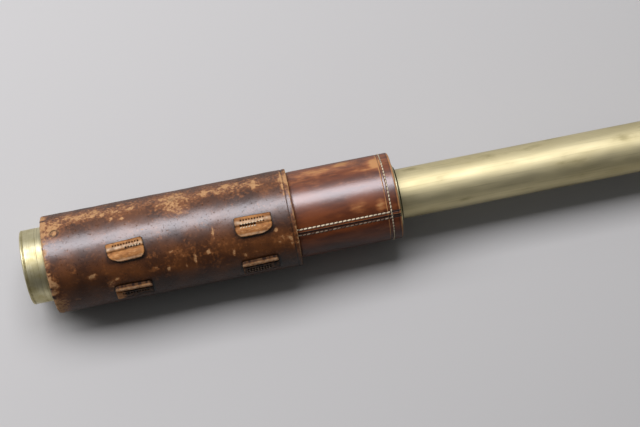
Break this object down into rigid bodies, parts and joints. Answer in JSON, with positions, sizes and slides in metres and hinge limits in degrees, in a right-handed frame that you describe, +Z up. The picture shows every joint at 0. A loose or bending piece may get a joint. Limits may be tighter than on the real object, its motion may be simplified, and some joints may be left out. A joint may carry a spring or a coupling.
{
  "type": "telescope",
  "caption": "Hand telescope with brass draw tubes sliding in a leather-covered body, a leather-covered sliding sunshade and an eyepiece with a swinging shutter.",
  "frame": {"origin": "centre of the objective cell's front rim, on the optical axis", "axes": "+X along the optical axis, from the objective towards the eye; +Z up as the telescope lies"},
  "size_m": [0.4107, 0.0603, 0.0608],
  "materials": {
    "satin_brass": "satin, with a dull patina",
    "dull_brass": "dull, aged",
    "blackened_brass": "matt black",
    "lens_glass": "polished",
    "brown_leather": "polished by use, scuffed",
    "chestnut_leather": "smooth and polished, with linen stitches",
    "tan_leather": "worn, matt",
    "felt": "matt",
    "linen_thread": "waxed linen thread of the stitches"
  },
  "bodies": {
    "barrel": {"objective_cell": "satin_brass", "crown_lens": "lens_glass", "flint_lens": "lens_glass", "objective_retainer": "blackened_brass", "body_tube": "dull_brass", "body_front_band": "satin_brass", "body_leather": "chestnut_leather", "body_end_collar": "satin_brass"},
    "sunshade": {"sunshade_tube": "dull_brass", "sunshade_leather": "brown_leather", "sunshade_front_guide": "felt", "sunshade_rear_guide": "felt", "keeper_tab_front_upper": "tan_leather", "keeper_tab_front_lower": "tan_leather", "keeper_tab_rear_upper": "tan_leather", "keeper_tab_rear_lower": "tan_leather"},
    "draw_1": {"draw_1_tube": "satin_brass", "draw_1_collar": "satin_brass", "draw_1_stop_ring": "dull_brass"},
    "draw_2": {"draw_2_tube": "satin_brass", "draw_2_collar": "satin_brass", "draw_2_stop_ring": "dull_brass"},
    "draw_3": {"draw_3_tube": "satin_brass", "draw_3_stop_ring": "dull_brass", "erector_mount": "dull_brass", "erector_tube": "blackened_brass", "erector_stop": "blackened_brass", "erector_front_lens": "lens_glass", "erector_front_retainer": "blackened_brass", "erector_rear_lens": "lens_glass", "erector_rear_retainer": "blackened_brass", "eyepiece_mount": "satin_brass", "eyepiece_tube": "blackened_brass", "field_lens": "lens_glass", "field_lens_retainer": "blackened_brass", "field_stop": "blackened_brass", "eye_lens_cell": "blackened_brass", "eye_lens": "lens_glass", "eye_lens_retainer": "blackened_brass", "eye_cup": "satin_brass", "shutter_pivot": "dull_brass"},
    "shutter": {"eye_shutter": "satin_brass", "shutter_knob": "satin_brass"}
  },
  "joints": [
    {"name": "sunshade_slide", "type": "slide", "parent": "barrel", "child": "sunshade", "axis": [-1, 0, 0], "range_m": [0, 0.085]},
    {"name": "draw_1_slide", "type": "slide", "parent": "barrel", "child": "draw_1", "axis": [1, 0, 0], "range_m": [0, 0.1629]},
    {"name": "draw_2_slide", "type": "slide", "parent": "draw_1", "child": "draw_2", "axis": [1, 0, 0], "range_m": [0, 0.1649]},
    {"name": "draw_3_slide", "type": "slide", "parent": "draw_2", "child": "draw_3", "axis": [1, 0, 0], "range_m": [-0.1724, 0]},
    {"name": "eye_shutter_swing", "type": "hinge", "parent": "draw_3", "child": "shutter", "pos_m": [0.407, -0.0068, 0], "axis": [1, 0, 0], "range_deg": [-28, 176]}
  ]
}
